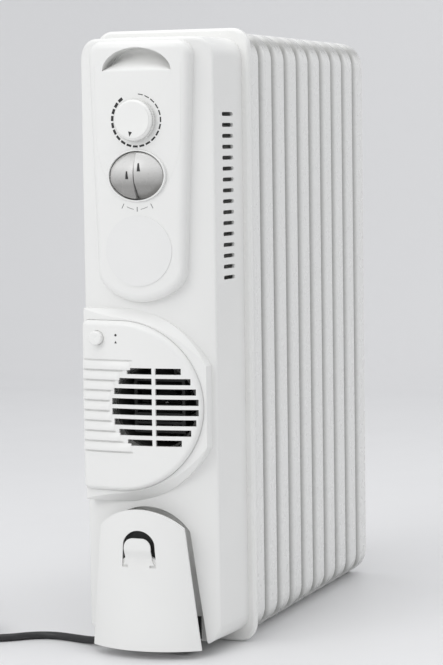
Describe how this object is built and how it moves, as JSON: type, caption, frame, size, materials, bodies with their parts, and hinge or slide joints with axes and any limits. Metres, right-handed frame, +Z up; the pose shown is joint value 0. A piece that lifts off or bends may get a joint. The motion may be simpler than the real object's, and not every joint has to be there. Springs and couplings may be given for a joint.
{
  "type": "oil filled radiator heater",
  "caption": "Free-standing white oil filled radiator heater with a row of steel fins, a front control housing, thermostat, rocker switches, fan grille and cord store.",
  "frame": {"origin": "on the floor under the middle of the heater's body, without its mains lead", "axes": "+X to the right seen from the front, the controls face -Y, +Z up"},
  "size_m": [0.3687, 0.4918, 0.6],
  "materials": {
    "fin_enamel": "gloss white stove enamel on steel",
    "plate_enamel": "gloss white stove enamel on steel",
    "housing_white": "moulded white plastic, soft gloss",
    "panel_white": "moulded white plastic, satin",
    "badge_white": "satin white badge disc",
    "knob_white": "moulded white plastic",
    "button_white": "moulded white plastic",
    "cover_white": "moulded white plastic",
    "store_white": "moulded white plastic",
    "rocker_grey": "silver grey lacquered plastic",
    "bezel_black": "dark plastic",
    "duct_grey": "grey plastic",
    "inner_black": "black plastic",
    "terminal_white": "natural nylon",
    "ceramic": "ceramic",
    "brass": "turned brass",
    "gasket": "fibre and silicone seal",
    "element_steel": "tubular element sheath",
    "motor_steel": "zinc plated steel",
    "shaft_steel": "bright steel",
    "screw_steel": "zinc plated steel",
    "cord_black": "black flexible sheath, satin",
    "tie_black": "black tie",
    "plug_black": "black moulded plug",
    "pin_nickel": "nickel plated brass"
  },
  "bodies": {
    "heater": {"end_plate": "plate_enamel", "front_collars": "fin_enamel", "rear_header_caps": "fin_enamel", "element_head": "brass", "element_gasket": "gasket", "filler_plug": "brass", "filler_gasket": "gasket", "heating_elements": "element_steel", "housing": "housing_white", "housing_screws": "screw_steel", "control_panel": "panel_white", "badge_disc": "badge_white", "thermostat": "inner_black", "switch_bezel": "bezel_black", "rocker_axle": "shaft_steel", "fan_cover": "cover_white", "fan_duct": "duct_grey", "fan_motor": "motor_steel", "fan_heater": "ceramic", "fan_switch": "inner_black", "cord_plate": "store_white", "cord_hub": "store_white", "cord_gland": "cord_black", "terminal_block": "terminal_white", "terminal_screws": "brass", "thermal_cutout": "ceramic", "tip_switch_case": "inner_black", "tip_switch_pin": "shaft_steel", "cord_lead": "cord_black", "cord_coil": "cord_black", "cord_tie": "tie_black", "cord_tail": "cord_black", "plug_body": "plug_black", "plug_pins": "pin_nickel", "fin_01": "fin_enamel", "fin_02": "fin_enamel", "fin_03": "fin_enamel", "fin_04": "fin_enamel", "fin_05": "fin_enamel", "fin_06": "fin_enamel", "fin_07": "fin_enamel", "fin_08": "fin_enamel", "fin_09": "fin_enamel", "fin_10": "fin_enamel"},
    "knob": {"thermostat_knob": "knob_white", "thermostat_shaft": "shaft_steel"},
    "left_rocker": {"left_rocker": "rocker_grey"},
    "right_rocker": {"right_rocker": "rocker_grey"},
    "fan_button": {"fan_button": "button_white"},
    "impeller": {"fan_impeller": "inner_black", "fan_spindle": "shaft_steel"},
    "tip_weight": {"tip_switch_weight": "motor_steel"}
  },
  "joints": [
    {"name": "knob_turn", "type": "hinge", "parent": "heater", "child": "knob", "pos_m": [0, -0.2391, 0.512], "axis": [0, 1, 0], "range_deg": [-175, 130]},
    {"name": "left_rocker_tilt", "type": "hinge", "parent": "heater", "child": "left_rocker", "pos_m": [-0.014, -0.2291, 0.46], "axis": [1, 0, 0], "range_deg": [0, 14]},
    {"name": "right_rocker_tilt", "type": "hinge", "parent": "heater", "child": "right_rocker", "pos_m": [0.014, -0.2291, 0.46], "axis": [1, 0, 0], "range_deg": [-14, 0]},
    {"name": "fan_button_press", "type": "slide", "parent": "heater", "child": "fan_button", "axis": [0, 1, 0], "range_m": [0, 0.003], "stiffness_N_per_m": 300},
    {"name": "impeller_spin", "type": "hinge", "parent": "heater", "child": "impeller", "pos_m": [0.0145, -0.1901, 0.241], "axis": [0, 1, 0], "continuous": true},
    {"name": "tip_weight_swing", "type": "hinge", "parent": "heater", "child": "tip_weight", "pos_m": [0.04, -0.1561, 0.136], "axis": [1, 0, 0], "range_deg": [-6, 6]}
  ]
}
